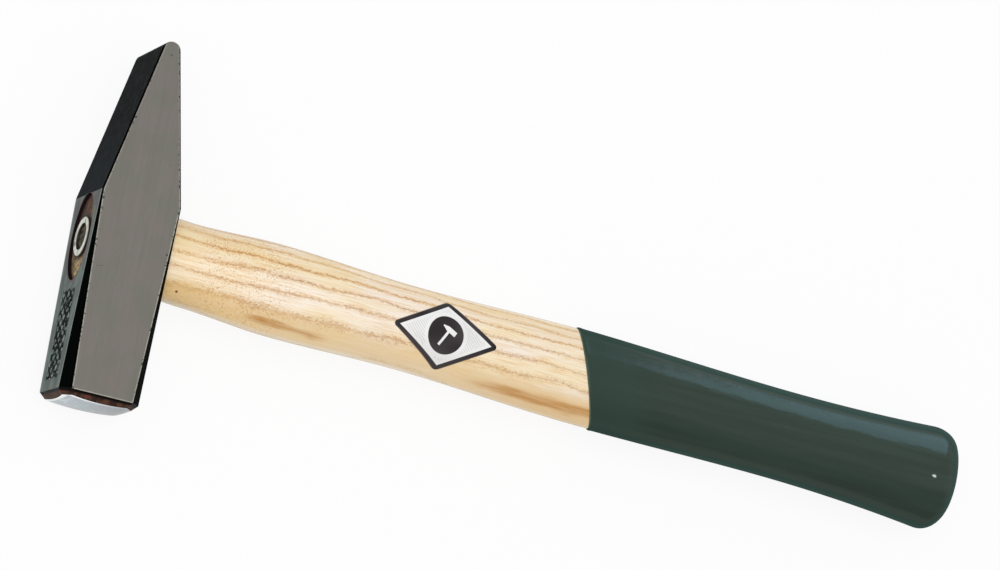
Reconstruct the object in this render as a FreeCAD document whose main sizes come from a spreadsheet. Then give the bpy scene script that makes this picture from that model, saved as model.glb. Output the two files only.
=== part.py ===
import FreeCAD, Part
import math
import os

import Sketcher

# Fitters hammer, lying on its lower cheek
#
# X runs from the top of the head through the eye and along the handle, +Y points to the pein
# and -Y to the striking face, and +Z is up. The origin is the middle of the eye, seen from
# above, at the level of the lower cheek. Lengths are in millimetres and angles in degrees.

SIZES = (
    # Head: one forging with a square section, a cross pein and an eight-sided poll
    ("head_depth", "26.5", "head through the eye, from its top face to the handle side"),
    ("head_width", "27", "head across the cheeks"),
    ("face_reach", "52.7", "middle of the eye to the top of the crowned striking face"),
    ("pein_reach", "65.3", "middle of the eye to the tip of the pein"),
    ("knee_reach", "13.9", "middle of the eye to the knees, where the pein starts to taper"),
    ("tip_radius", "3.1", "round nose of the pein"),
    ("edge_break", "0.5", "narrow chamfer on every long edge of the head"),
    ("flat_leg_depth", "3.3", "corner flat at the striking face, measured along the eye"),
    ("flat_leg_width", "4.1", "corner flat at the striking face, measured across the head"),
    ("flat_knee_share", "0.12", "corner flat at the knees, as a share of that at the face"),
    ("face_bevel", "3", "bevel round the striking face"),
    ("crown_radius", "90", "crown of the striking face"),
    # Eye: an hourglass through the head, wider at both mouths than at the waist
    ("eye_top_height", "28.8", "upper mouth along the head"),
    ("eye_top_width", "18.4", "upper mouth across the head"),
    ("eye_waist_height", "25.2", "waist along the head"),
    ("eye_waist_width", "15.8", "waist across the head"),
    ("eye_under_height", "27.5", "lower mouth along the head"),
    ("eye_under_width", "17.8", "lower mouth across the head"),
    ("eye_gap", "0.12", "clearance all round between the eye and the tenon"),
    ("overrun", "1", "how far a cut runs past the face that it opens"),
    ("match", "0.01", "how near an edge lies to a place to count as being there"),
    # Ring wedge: a round steel ring with a tapered wall in the end grain of the tenon
    ("ring_outer", "13", "outer diameter at the top"),
    ("ring_bore", "8.6", "bore"),
    ("ring_edge", "0.8", "wall left at the lower, cutting edge"),
    ("ring_length", "16", "length along the eye"),
    ("ring_recess", "0.1", "top of the ring below the top face of the head"),
    ("ring_gap", "0.05", "clearance between the ring and its groove"),
    # Handle: ovals at stations counted from the middle of the eye
    ("overall_length", "321.7", "top face of the head to the end of the coated butt"),
    ("hang_angle", "1.2", "lean of the handle towards the striking face"),
    ("tenon_recess", "1", "end grain of the tenon below the top face of the head"),
    ("collar_at", "22", "station of the collar behind the head"),
    ("collar_height", "27.3", "collar along the head"),
    ("collar_thick", "17.8", "collar across the head"),
    ("shoulder_at", "54", "station of the shoulder"),
    ("shoulder_height", "30.3", "shoulder along the head"),
    ("shoulder_thick", "18.9", "shoulder across the head"),
    ("neck_at", "99", "station of the neck"),
    ("neck_height", "28.2", "neck along the head"),
    ("neck_thick", "20.7", "neck across the head"),
    ("palm_at", "164", "station of the palm swell"),
    ("palm_height", "31.5", "palm swell along the head"),
    ("palm_thick", "22.6", "palm swell across the head"),
    ("waist_at", "236", "station of the waist"),
    ("waist_height", "29.8", "waist along the head"),
    ("waist_thick", "24.3", "waist across the head"),
    ("butt_height", "36.8", "flared butt along the head"),
    ("butt_thick", "26", "butt across the head"),
    ("butt_drop", "0.3", "middle of the butt off the handle's line, towards the striking face"),
    ("butt_crown", "60", "crown radius of the end of the butt"),
    ("butt_round", "7", "rounding between the side and the end of the butt"),
    ("butt_lift", "2.4", "shift of the rounded end back towards the pein side"),
    # Grip coat: dipped lacquer from the slanting dip line to the butt
    ("coat_thick", "0.35", "thickness of the lacquer"),
    ("dip_at", "164", "station where the dip plane crosses the middle of the handle"),
    ("dip_slant", "24.8", "tilt of the dip plane against a square cut"),
    ("dip_turn", "44.6", "direction of that tilt round the handle"),
)

doc = FreeCAD.newDocument("fitters_hammer")
sheet = doc.addObject("Spreadsheet::Sheet", "sizes")
for row, (alias, value, meaning) in enumerate(SIZES, start=1):
    sheet.set(f"A{row}", value)
    sheet.setAlias(f"A{row}", alias)
    sheet.set(f"B{row}", meaning)
doc.recompute()


def size(alias):
    """One driving size, read back from the sheet."""
    return float(sheet.get(alias))


# Stations and places that several pieces share, written in the sheet's names
TOP_FACE = "-<<sizes>>.head_depth / 2"
TOP_END = "-(<<sizes>>.head_depth / 2 + <<sizes>>.overrun)"
UNDER_END = "<<sizes>>.head_depth / 2 + <<sizes>>.overrun"
COATED_END = "<<sizes>>.overall_length - <<sizes>>.head_depth / 2"
WOOD_END = COATED_END + " - <<sizes>>.coat_thick"

# Ovals along the handle: two named stations and the shares of the way between them. They
# stand closer together at the dip line.
SPAN_SHARES = (
    ("collar", "shoulder", (0, 0.35, 0.7)),
    ("shoulder", "neck", (0, 0.25, 0.5, 0.75)),
    ("neck", "palm", (0, 0.25, 0.5, 0.7, 0.84, 0.92)),
    ("palm", "waist", (0, 0.07, 0.14, 0.4, 0.7)),
)
FLARE_STEPS = 5
ROUND_STEPS = 5
EYE_STEPS = 3
END_FLAT_SHARE = 0.7


def lean(station):
    """Sideways place of the handle's middle line at a station."""
    return f"-({station}) * tan(<<sizes>>.hang_angle)"


def blend(start, finish, share):
    """A share of the way from one expression to another."""
    return f"({start}) + (({finish}) - ({start})) * ({share})"


def new_body(name):
    """A body whose own frame has its origin in the middle of the eye."""
    body = doc.addObject("PartDesign::Body", name)
    body.Label = name
    body.setExpression("Placement.Base.z", "<<sizes>>.head_width / 2")
    return body


def plane_of(body, role):
    """One of the body's own origin planes."""
    return next(feature for feature in body.Origin.OriginFeatures if feature.Role == role)


def new_sketch(body, name, role):
    """A sketch on one of the body's origin planes."""
    sketch = body.newObject("Sketcher::SketchObject", name)
    sketch.AttachmentSupport = [(plane_of(body, role), "")]
    sketch.MapMode = "FlatFace"
    return sketch


def drive(sketch, kind, name, expression, *where):
    """Adds a dimension to a sketch, named and bound to the sheet."""
    sketch.addConstraint(Sketcher.Constraint(kind, *where))
    sketch.renameConstraint(sketch.ConstraintCount - 1, name)
    sketch.setExpression(f"Constraints.{name}", expression)


def outline(sketch, points):
    """Closed outline of straight lines through the points, joined at their ends."""
    corners = [FreeCAD.Vector(x, y, 0) for x, y in points]
    last = len(corners) - 1
    for index, corner in enumerate(corners):
        sketch.addGeometry(Part.LineSegment(corner, corners[(index + 1) % len(corners)]), False)
    for index in range(len(corners)):
        after = index + 1 if index < last else 0
        sketch.addConstraint(Sketcher.Constraint("Coincident", index, 2, after, 1))


def oval(body, name, station, height, thick, middle="0"):
    """Oval section square to X: height runs along the head and thick across it."""
    sketch = new_sketch(body, name, "YZ_Plane")
    sketch.setExpression("AttachmentOffset.Base.z", station)
    sketch.setExpression("AttachmentOffset.Base.x", middle)
    tall = size("butt_height")
    wide = size("butt_thick")
    shape = Part.Ellipse(FreeCAD.Vector(tall / 2, 0, 0), FreeCAD.Vector(0, wide / 2, 0),
                         FreeCAD.Vector(0, 0, 0))
    sketch.addGeometry(shape, False)
    sketch.exposeInternalGeometry(0)
    sketch.addConstraint(Sketcher.Constraint("Coincident", 0, 3, -1, 1))
    sketch.addConstraint(Sketcher.Constraint("Horizontal", 1))
    drive(sketch, "Distance", "height", height, 1, tall)
    drive(sketch, "Distance", "thick", thick, 2, wide)
    return sketch


def loft(body, kind, name, sections):
    """Loft with straight lines from each closed section to the next."""
    feature = body.newObject(f"PartDesign::{kind}", name)
    feature.Profile = (sections[0], [""])
    feature.Sections = [(section, [""]) for section in sections[1:]]
    feature.Ruled = True
    return feature


def edges_where(feature, test):
    """Names of the feature's edges that pass the test."""
    edges = enumerate(feature.Shape.Edges, start=1)
    return [f"Edge{number}" for number, edge in edges if test(edge)]


def dress(body, kind, name, base, edges, value, expression):
    """Chamfer or fillet on named edges of the base feature."""
    feature = body.newObject(f"PartDesign::{kind}", name)
    feature.Base = (base, edges)
    prop = "Size" if kind == "Chamfer" else "Radius"
    setattr(feature, prop, value)
    feature.setExpression(prop, expression)
    return feature


# Head


def head_profile(body):
    """Side view of the head: poll, knees, tapering pein and its round nose."""
    sketch = new_sketch(body, "side_view", "XY_Plane")
    half = size("head_depth") / 2
    face = -size("face_reach")
    knee = size("knee_reach")
    nose = size("tip_radius")
    centre = size("pein_reach") - nose
    outline_points = [(-half, face), (half, face), (half, knee), (nose, centre)]
    corners = [FreeCAD.Vector(x, y, 0) for x, y in outline_points]
    far = [FreeCAD.Vector(-x, y, 0) for x, y in outline_points]
    sketch.addGeometry(Part.LineSegment(corners[0], corners[1]), False)
    sketch.addGeometry(Part.LineSegment(corners[1], corners[2]), False)
    sketch.addGeometry(Part.LineSegment(corners[2], corners[3]), False)
    circle = Part.Circle(FreeCAD.Vector(0, centre, 0), FreeCAD.Vector(0, 0, 1), nose)
    sketch.addGeometry(Part.ArcOfCircle(circle, 0, math.pi), False)
    sketch.addGeometry(Part.LineSegment(far[3], far[2]), False)
    sketch.addGeometry(Part.LineSegment(far[2], corners[0]), False)
    for before, after in ((0, 1), (1, 2), (4, 5), (5, 0)):
        sketch.addConstraint(Sketcher.Constraint("Coincident", before, 2, after, 1))
    sketch.addConstraint(Sketcher.Constraint("Tangent", 2, 2, 3, 1))
    sketch.addConstraint(Sketcher.Constraint("Tangent", 3, 2, 4, 1))
    sketch.addConstraint(Sketcher.Constraint("PointOnObject", 3, 3, -2))
    sketch.addConstraint(Sketcher.Constraint("Vertical", 1))
    sketch.addConstraint(Sketcher.Constraint("Vertical", 5))
    sketch.addConstraint(Sketcher.Constraint("Symmetric", 0, 1, 0, 2, -2))
    sketch.addConstraint(Sketcher.Constraint("Equal", 1, 5))
    drive(sketch, "DistanceX", "depth", "<<sizes>>.head_depth", 0, 1, 0, 2, 2 * half)
    drive(sketch, "DistanceY", "face", "<<sizes>>.face_reach", 0, 1, -1, 1, -face)
    drive(sketch, "DistanceY", "knee", "<<sizes>>.knee_reach", -1, 1, 1, 2, knee)
    drive(sketch, "DistanceY", "nose_centre", "<<sizes>>.pein_reach - <<sizes>>.tip_radius",
          -1, 1, 3, 3, centre)
    drive(sketch, "Radius", "nose", "<<sizes>>.tip_radius", 3, nose)
    return sketch


def corner_triangle(body, name, station, share):
    """Section of the cut that leaves one corner flat, square to Y."""
    sketch = new_sketch(body, name, "XZ_Plane")
    sketch.setExpression("AttachmentOffset.Base.z", f"-({station})")
    side = size("head_depth") / 2
    cheek = size("head_width") / 2
    depth = size("flat_leg_depth")
    width = size("flat_leg_width")
    outline(sketch, [(side - 2 * depth, cheek + width), (side + depth, cheek - 2 * width),
                     (side + depth, cheek + width)])
    sketch.addConstraint(Sketcher.Constraint("Vertical", 1))
    sketch.addConstraint(Sketcher.Constraint("Horizontal", 2))
    cut = f"<<sizes>>.flat_leg_depth * {share}"
    drive(sketch, "DistanceX", "near", f"<<sizes>>.head_depth / 2 - 2 * {cut}", -1, 1, 0, 1,
          side - 2 * depth)
    drive(sketch, "DistanceX", "past", f"<<sizes>>.head_depth / 2 + {cut}", -1, 1, 1, 1,
          side + depth)
    cut = f"<<sizes>>.flat_leg_width * {share}"
    drive(sketch, "DistanceY", "under", f"<<sizes>>.head_width / 2 - 2 * {cut}", -1, 1, 1, 1,
          cheek - 2 * width)
    drive(sketch, "DistanceY", "above", f"<<sizes>>.head_width / 2 + {cut}", -1, 1, 0, 1,
          cheek + width)
    return sketch


def crown_section(body):
    """What the crown of the striking face leaves outside it, to be turned about its centre."""
    sketch = new_sketch(body, "crown_section", "XY_Plane")
    radius = size("crown_radius")
    face = -size("face_reach")
    reach = size("head_depth")
    past = size("face_bevel")
    turn = math.asin(reach / radius)
    rise = radius - math.sqrt(radius ** 2 - reach ** 2)
    circle = Part.Circle(FreeCAD.Vector(0, face + radius, 0), FreeCAD.Vector(0, 0, 1), radius)
    low = 1.5 * math.pi
    sketch.addGeometry(Part.ArcOfCircle(circle, low - turn, low + turn), False)
    far = [FreeCAD.Vector(x, y, 0) for x, y in
           ((reach, face + rise), (reach, face - past), (-reach, face - past),
            (-reach, face + rise))]
    for index in range(3):
        sketch.addGeometry(Part.LineSegment(far[index], far[index + 1]), False)
    axis = [FreeCAD.Vector(x, face + radius, 0) for x in (-reach, reach)]
    sketch.addGeometry(Part.LineSegment(*axis), True)
    for before, after in ((0, 1), (1, 2), (2, 3)):
        sketch.addConstraint(Sketcher.Constraint("Coincident", before, 2, after, 1))
    sketch.addConstraint(Sketcher.Constraint("Coincident", 3, 2, 0, 1))
    sketch.addConstraint(Sketcher.Constraint("PointOnObject", 0, 3, -2))
    sketch.addConstraint(Sketcher.Constraint("Symmetric", 0, 1, 0, 2, -2))
    sketch.addConstraint(Sketcher.Constraint("Vertical", 1))
    sketch.addConstraint(Sketcher.Constraint("Horizontal", 2))
    sketch.addConstraint(Sketcher.Constraint("Vertical", 3))
    sketch.addConstraint(Sketcher.Constraint("Horizontal", 4))
    sketch.addConstraint(Sketcher.Constraint("Symmetric", 4, 1, 4, 2, 0, 3))
    drive(sketch, "Radius", "crown", "<<sizes>>.crown_radius", 0, radius)
    drive(sketch, "DistanceY", "centre", "<<sizes>>.crown_radius - <<sizes>>.face_reach",
          -1, 1, 0, 3, face + radius)
    drive(sketch, "DistanceY", "past", "<<sizes>>.face_reach + <<sizes>>.face_bevel",
          2, 1, -1, 1, past - face)
    drive(sketch, "DistanceX", "reach", "<<sizes>>.head_depth", -1, 1, 0, 2, reach)
    drive(sketch, "DistanceX", "axis", "<<sizes>>.head_depth", 0, 3, 4, 2, reach)
    return sketch


def make_head():
    """The forging: padded side view, edge breaks, corner flats, bevelled face and eye."""
    body = new_body("head")
    blank = body.newObject("PartDesign::Pad", "blank")
    blank.Profile = head_profile(body)
    blank.Midplane = True
    blank.setExpression("Length", "<<sizes>>.head_width")
    doc.recompute()

    cheek = size("head_width") / 2
    face = -size("face_reach")
    near = size("match")

    def long_edge(edge):
        box = edge.BoundBox
        on_cheek = abs(abs(box.Center.z) - cheek) < near and box.ZLength < near
        return on_cheek and box.YMax > face + near

    broken = dress(body, "Chamfer", "edge_breaks", blank, edges_where(blank, long_edge),
                   size("edge_break"), "<<sizes>>.edge_break")
    doc.recompute()

    start = corner_triangle(body, "flat_at_knee", "<<sizes>>.knee_reach",
                            "<<sizes>>.flat_knee_share")
    finish = corner_triangle(body, "flat_at_face", "-<<sizes>>.face_reach", "1")
    flat = loft(body, "SubtractiveLoft", "corner_flat", [start, finish])
    doc.recompute()
    flats = body.newObject("PartDesign::MultiTransform", "corner_flats")
    flats.Originals = [flat]
    mirrors = []
    for role in ("XY_Plane", "YZ_Plane"):
        mirror = body.newObject("PartDesign::Mirrored", f"mirror_{role[:2]}")
        mirror.MirrorPlane = (plane_of(body, role), [""])
        mirrors.append(mirror)
    flats.Transformations = mirrors
    body.Tip = flats
    doc.recompute()

    def face_edge(edge):
        box = edge.BoundBox
        return abs(box.YMin - face) < near and box.YLength < near

    bevel = dress(body, "Chamfer", "face_bevel", flats, edges_where(flats, face_edge),
                  size("face_bevel"), "<<sizes>>.face_bevel")
    doc.recompute()
    crown = body.newObject("PartDesign::Groove", "face_crown")
    crown.Profile = crown_section(body)
    crown.ReferenceAxis = (crown.Profile[0], ["Axis0"])
    crown.Angle = 360
    doc.recompute()

    mouths = []
    for start, finish, from_end, to_end in (("top", "waist", TOP_END, "0"),
                                            ("waist", "under", "0", UNDER_END)):
        for step in range(EYE_STEPS):
            share = step / EYE_STEPS
            mouths.append(oval(body, f"eye_{start}_{step}", blend(from_end, to_end, share),
                               blend(f"<<sizes>>.eye_{start}_height",
                                     f"<<sizes>>.eye_{finish}_height", share),
                               blend(f"<<sizes>>.eye_{start}_width",
                                     f"<<sizes>>.eye_{finish}_width", share)))
    mouths.append(oval(body, "eye_under", UNDER_END, "<<sizes>>.eye_under_height",
                       "<<sizes>>.eye_under_width"))
    loft(body, "SubtractiveLoft", "eye", mouths)
    doc.recompute()
    return body


def wave_ovals():
    """Ovals from the collar to just before the waist: place, station, height and thickness.

    Between two named stations the height follows an eased curve, level at both ends, and
    the thickness a straight line.
    """
    ovals = []
    for start, finish, shares in SPAN_SHARES:
        for step, share in enumerate(shares):
            eased = share * share * (3 - 2 * share)
            ovals.append((f"{start}_{step}",
                          blend(f"<<sizes>>.{start}_at", f"<<sizes>>.{finish}_at", share),
                          blend(f"<<sizes>>.{start}_height", f"<<sizes>>.{finish}_height", eased),
                          blend(f"<<sizes>>.{start}_thick", f"<<sizes>>.{finish}_thick", share)))
    return ovals


def flared(station):
    """Height, thickness and middle of the flaring part between the waist and the butt."""
    share = f"(({station}) - <<sizes>>.waist_at) / ({WOOD_END} - <<sizes>>.waist_at)"
    height = blend("<<sizes>>.waist_height", "<<sizes>>.butt_height", f"({share})^2")
    thick = blend("<<sizes>>.waist_thick", "<<sizes>>.butt_thick", share)
    middle = f"{lean(station)} - <<sizes>>.butt_drop * ({share})^2"
    return height, thick, middle


def crown_depth(half):
    """How far the crowned end lies back at a distance from its middle.

    The middle of the crown is a small flat, which is where the handle ends.
    """
    flat = f"{END_FLAT_SHARE} * (<<sizes>>.butt_height / 2 - <<sizes>>.butt_round)"
    return f"(({half})^2 - ({flat})^2) / (2 * <<sizes>>.butt_crown)"


def handle_sections(body, growth, first, last):
    """Ovals of the handle from one named place to another, grown all round by a thickness."""
    def grown(expression, inset="0"):
        return f"{expression} + 2 * ({growth}) - 2 * ({inset})"

    places = [(name, station, grown(height), grown(thick), lean(station))
              for name, station, height, thick in wave_ovals()]
    half = "<<sizes>>.butt_height / 2"
    turn_start = f"{WOOD_END} - {crown_depth(half)} - <<sizes>>.butt_round"
    for step in range(FLARE_STEPS):
        station = blend("<<sizes>>.waist_at", turn_start, step / FLARE_STEPS)
        height, thick, middle = flared(station)
        places.append((f"flare_{step}", station, grown(height), grown(thick), middle))

    for step in range(ROUND_STEPS + 1):
        angle = 90 * step / ROUND_STEPS
        inset = f"<<sizes>>.butt_round * (1 - cos({angle}))"
        back = f"<<sizes>>.butt_round * (1 - sin({angle}))"
        station = f"{WOOD_END} - {crown_depth(f'{half} - {inset}')} - {back}"
        height, thick, middle = flared(station)
        inset = f"(<<sizes>>.butt_round + {growth}) * (1 - cos({angle}))"
        places.append((f"round_{step}", f"{station} + ({growth}) * sin({angle})",
                       grown(height, inset), grown(thick, inset),
                       f"{middle} + <<sizes>>.butt_lift * (1 - cos({angle}))"))

    places.append(("end", f"{WOOD_END} + {growth}",
                   f"{END_FLAT_SHARE} * (<<sizes>>.butt_height - 2 * <<sizes>>.butt_round)",
                   f"{END_FLAT_SHARE} * (<<sizes>>.butt_thick - 2 * <<sizes>>.butt_round)",
                   f"{flared(WOOD_END)[2]} + <<sizes>>.butt_lift * (2 - {END_FLAT_SHARE})"))

    names = [place[0] for place in places]
    wanted = places[names.index(first):names.index(last) + 1]
    return [oval(body, *place) for place in wanted]


def ring_section(body, name, gap):
    """Half section of the ring wedge beside the X axis, or of its groove with the gap."""
    sketch = new_sketch(body, name, "XY_Plane")
    half = size("head_depth") / 2
    top = -(half - size("ring_recess"))
    bottom = top + size("ring_length")
    bore = size("ring_bore") / 2
    outer = size("ring_outer") / 2
    edge = bore + size("ring_edge")
    outline(sketch, [(top, bore), (bottom, bore), (bottom, edge), (top, outer)])
    sketch.addConstraint(Sketcher.Constraint("Horizontal", 0))
    sketch.addConstraint(Sketcher.Constraint("Vertical", 1))
    sketch.addConstraint(Sketcher.Constraint("Vertical", 3))
    drive(sketch, "DistanceX", "top", "<<sizes>>.head_depth / 2 - <<sizes>>.ring_recess",
          0, 1, -1, 1, -top)
    drive(sketch, "DistanceX", "length", f"<<sizes>>.ring_length + {gap}", 0, 1, 0, 2,
          bottom - top)
    drive(sketch, "DistanceY", "bore", f"<<sizes>>.ring_bore / 2 - {gap}", -1, 1, 0, 1, bore)
    drive(sketch, "DistanceY", "edge", f"<<sizes>>.ring_edge + 2 * {gap}", 1, 1, 1, 2,
          edge - bore)
    drive(sketch, "DistanceY", "outer", f"<<sizes>>.ring_outer / 2 + {gap}", -1, 1, 2, 2, outer)
    return sketch


def make_ring_wedge():
    """Round steel ring, its wall tapering to the edge that is driven into the wood."""
    body = new_body("ring_wedge")
    ring = body.newObject("PartDesign::Revolution", "ring")
    ring.Profile = ring_section(body, "half_section", "0")
    ring.ReferenceAxis = (ring.Profile[0], ["H_Axis"])
    ring.Angle = 360
    doc.recompute()
    return body


def make_handle():
    """The ash handle: blade, tenon with its end cut below the head, and the ring's groove."""
    body = new_body("handle")
    gap = "2 * <<sizes>>.eye_gap"
    tenon_sections = [
        oval(body, "tenon_top", TOP_END, f"<<sizes>>.eye_top_height - {gap}",
             f"<<sizes>>.eye_top_width - {gap}"),
        oval(body, "tenon_waist", "0", f"<<sizes>>.eye_waist_height - {gap}",
             f"<<sizes>>.eye_waist_width - {gap}"),
        oval(body, "tenon_under", UNDER_END, f"<<sizes>>.eye_under_height - {gap}",
             f"<<sizes>>.eye_under_width - {gap}"),
    ]
    loft(body, "AdditiveLoft", "blade",
         tenon_sections + handle_sections(body, "0", "collar_0", "end"))
    doc.recompute()

    trim = body.newObject("PartDesign::Pocket", "end_grain")
    trim.Profile = oval(body, "end_cut", f"{TOP_FACE} + <<sizes>>.tenon_recess",
                        "<<sizes>>.eye_top_height + 2 * <<sizes>>.overrun",
                        "<<sizes>>.eye_top_width + 2 * <<sizes>>.overrun")
    trim.setExpression("Length", "<<sizes>>.tenon_recess + 2 * <<sizes>>.overrun")
    doc.recompute()

    groove = body.newObject("PartDesign::Groove", "ring_groove")
    groove.Profile = ring_section(body, "groove_section", "<<sizes>>.ring_gap")
    groove.ReferenceAxis = (groove.Profile[0], ["H_Axis"])
    groove.Angle = 360
    doc.recompute()
    return body


def dip_section(body):
    """What the slanting dip line leaves bare, in the plane that holds the dip's slant."""
    sketch = new_sketch(body, "dip_section", "XY_Plane")
    sketch.AttachmentOffset = FreeCAD.Placement(FreeCAD.Vector(0, 0, 0),
                                                FreeCAD.Rotation(FreeCAD.Vector(1, 0, 0),
                                                                 size("dip_turn")))
    sketch.setExpression("AttachmentOffset.Rotation.Angle", "<<sizes>>.dip_turn")
    reach = size("butt_height")
    front = size("head_depth") / 2
    middle = size("dip_at")
    slope = math.tan(math.radians(size("dip_slant"))) * reach
    outline(sketch, [(front, -reach), (middle + slope, -reach), (middle - slope, reach),
                     (front, reach)])
    sketch.addConstraint(Sketcher.Constraint("Horizontal", 0))
    sketch.addConstraint(Sketcher.Constraint("Horizontal", 2))
    sketch.addConstraint(Sketcher.Constraint("Vertical", 3))
    drive(sketch, "DistanceX", "front", "<<sizes>>.head_depth / 2", -1, 1, 0, 1, front)
    drive(sketch, "DistanceY", "below", "<<sizes>>.butt_height", 0, 1, -1, 1, reach)
    drive(sketch, "DistanceY", "above", "<<sizes>>.butt_height", -1, 1, 2, 1, reach)
    wide = "<<sizes>>.butt_height * tan(<<sizes>>.dip_slant)"
    drive(sketch, "DistanceX", "low_end", f"<<sizes>>.dip_at + {wide}", -1, 1, 1, 1,
          middle + slope)
    drive(sketch, "DistanceX", "high_end", f"<<sizes>>.dip_at - {wide}", -1, 1, 2, 1,
          middle - slope)
    return sketch


def make_grip_coat(handle):
    """Skin of lacquer: the grown handle form behind the dip line, less the wood."""
    form = new_body("grip_form")
    sections = handle_sections(form, "<<sizes>>.coat_thick", "neck_0", "end")
    loft(form, "AdditiveLoft", "coated_form", sections)
    doc.recompute()
    bare = form.newObject("PartDesign::Pocket", "bare_wood")
    bare.Profile = dip_section(form)
    bare.Midplane = True
    bare.setExpression("Length", "4 * <<sizes>>.butt_height")
    doc.recompute()
    coat = doc.addObject("Part::Cut", "grip_coat")
    coat.Label = "grip_coat"
    coat.Base = form
    coat.Tool = handle
    doc.recompute()
    return coat


head = make_head()
handle = make_handle()
ring_wedge = make_ring_wedge()
grip_coat = make_grip_coat(handle)
doc.recompute()

for thing in doc.Objects:
    if "Invalid" in thing.State or "Error" in thing.State:
        raise RuntimeError(f"{thing.Name} failed: {thing.State}")

pieces = [head, handle, ring_wedge, grip_coat]
for piece in pieces:
    if piece.Shape.isNull() or not piece.Shape.isValid():
        raise RuntimeError(f"{piece.Label} has no sound shape")

os.makedirs("parts", exist_ok=True)
for piece in pieces:
    piece.Shape.exportStep(f"parts/{piece.Label}.step")
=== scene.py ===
# %% [markdown]
# # A fitters hammer
#
# This lesson dresses a hammer that was first built as a solid model. The solid model says
# where every piece is and how big it is; this file gives the pieces their rounded edges,
# their grain, their lacquer and their wear, and then sets up the light and the camera.
#
# The hammer lies on one cheek of its head. X runs from the top of the head through the eye
# and along the handle, +Y points to the pein, -Y to the striking face, and +Z is up. Blender
# counts in metres, so a size in millimetres is written with the helper mm().

import math

import bmesh
import bpy
import numpy as np
from mathutils import Matrix, Vector


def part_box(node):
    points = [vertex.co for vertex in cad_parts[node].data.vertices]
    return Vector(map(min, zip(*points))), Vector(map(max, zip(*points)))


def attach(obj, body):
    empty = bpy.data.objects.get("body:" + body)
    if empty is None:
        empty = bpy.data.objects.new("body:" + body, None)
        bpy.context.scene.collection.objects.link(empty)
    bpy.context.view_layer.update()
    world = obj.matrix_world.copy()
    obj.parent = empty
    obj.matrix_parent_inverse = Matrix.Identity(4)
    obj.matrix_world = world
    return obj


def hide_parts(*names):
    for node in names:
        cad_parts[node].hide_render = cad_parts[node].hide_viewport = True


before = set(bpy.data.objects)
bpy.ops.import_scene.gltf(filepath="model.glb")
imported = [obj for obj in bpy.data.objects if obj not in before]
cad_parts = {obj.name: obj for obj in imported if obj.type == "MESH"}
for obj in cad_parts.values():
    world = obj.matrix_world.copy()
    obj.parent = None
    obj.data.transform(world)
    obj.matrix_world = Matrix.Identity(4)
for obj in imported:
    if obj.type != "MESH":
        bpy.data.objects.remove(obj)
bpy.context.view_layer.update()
print("solid pieces:", sorted(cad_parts))

# %% [markdown]
# ## Measures
#
# The sizes here are those of the solid model, so that what is made below sits exactly where
# the solid is. Sizes that the solid can tell by itself, such as the width of the head, are
# read from it instead of being typed again.

# %% Measures of the head and the handle
def mm(value):
    """Millimetres as metres."""
    return value / 1000


head_low, head_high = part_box("head")
handle_low, handle_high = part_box("handle")
coat_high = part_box("grip_coat")[1]

half_depth = head_high.x
half_width = head_high.z / 2
middle_z = half_width
face_reach = -head_low.y
pein_reach = head_high.y
knee_reach = mm(13.9)
nose_radius = mm(3.1)
edge_break = mm(0.5)
flat_leg_depth = mm(3.3)
flat_leg_width = mm(4.1)
flat_knee_share = 0.12
face_bevel = mm(3)
crown_radius = mm(90)
mouth_height, mouth_width = mm(28.8), mm(18.4)

lean = math.tan(math.radians(1.2))
wood_end = handle_high.x
coat_thick = coat_high.x - handle_high.x
print("head", round(half_depth * 2000, 2), "x", round(half_width * 2000, 2), "mm, handle ends at",
      round(wood_end * 1000, 2), "mm, coat", round(coat_thick * 1000, 2), "mm thick")

# %% [markdown]
# ## Small helpers for meshes
#
# The pieces are made from points and faces. Most of them are rings of points, joined ring by
# ring into a skin. A modifier is a rule that changes a mesh without touching it; here each one
# is turned into plain mesh at once, so that the next step can work on the real faces.

# %% Mesh helpers
def mesh_object(name, points, faces, smooth=True):
    """One object made of points and faces, smooth or flat."""
    mesh = bpy.data.meshes.new(name)
    mesh.from_pydata([tuple(point) for point in points], [], faces)
    mesh.validate()
    mesh.update()
    for polygon in mesh.polygons:
        polygon.use_smooth = smooth
    piece = bpy.data.objects.new(name, mesh)
    bpy.context.scene.collection.objects.link(piece)
    return piece


def ring_faces(first, second, count):
    """Four-sided faces between two closed rings of points."""
    return [(first + step, first + (step + 1) % count, second + (step + 1) % count, second + step)
            for step in range(count)]


def modify(piece, name, kind, **settings):
    """Changes a piece by one modifier and keeps the result as plain mesh."""
    modifier = piece.modifiers.new(name, kind)
    for setting, value in settings.items():
        setattr(modifier, setting, value)
    graph = bpy.context.evaluated_depsgraph_get()
    mesh = bpy.data.meshes.new_from_object(piece.evaluated_get(graph))
    piece.modifiers.clear()
    piece.data = mesh


print("two rings of 4 points are joined by the faces", ring_faces(0, 4, 4))

# %% Ovals round the handle, and a skin over them
ring_count = 96


def oval_ring(x, height, thick, centre_y=0.0):
    """Points of an upright oval square to the handle."""
    turns = [2 * math.pi * step / ring_count for step in range(ring_count)]
    return [Vector((x, centre_y + height / 2 * math.cos(turn),
                    middle_z + thick / 2 * math.sin(turn))) for turn in turns]


def skin_of_rings(rings, close_front=False, close_back=True):
    """Points and faces of a skin over ovals, with its ends open or closed."""
    points = [point for ring in rings for point in oval_ring(*ring)]
    faces = []
    for start in range(0, len(points) - ring_count, ring_count):
        faces += ring_faces(start, start + ring_count, ring_count)
    if close_back:
        faces.append(tuple(range(len(points) - ring_count, len(points))))
    if close_front:
        faces.append(tuple(range(ring_count - 1, -1, -1)))
    return points, faces


print("an oval has", ring_count, "points")

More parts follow.
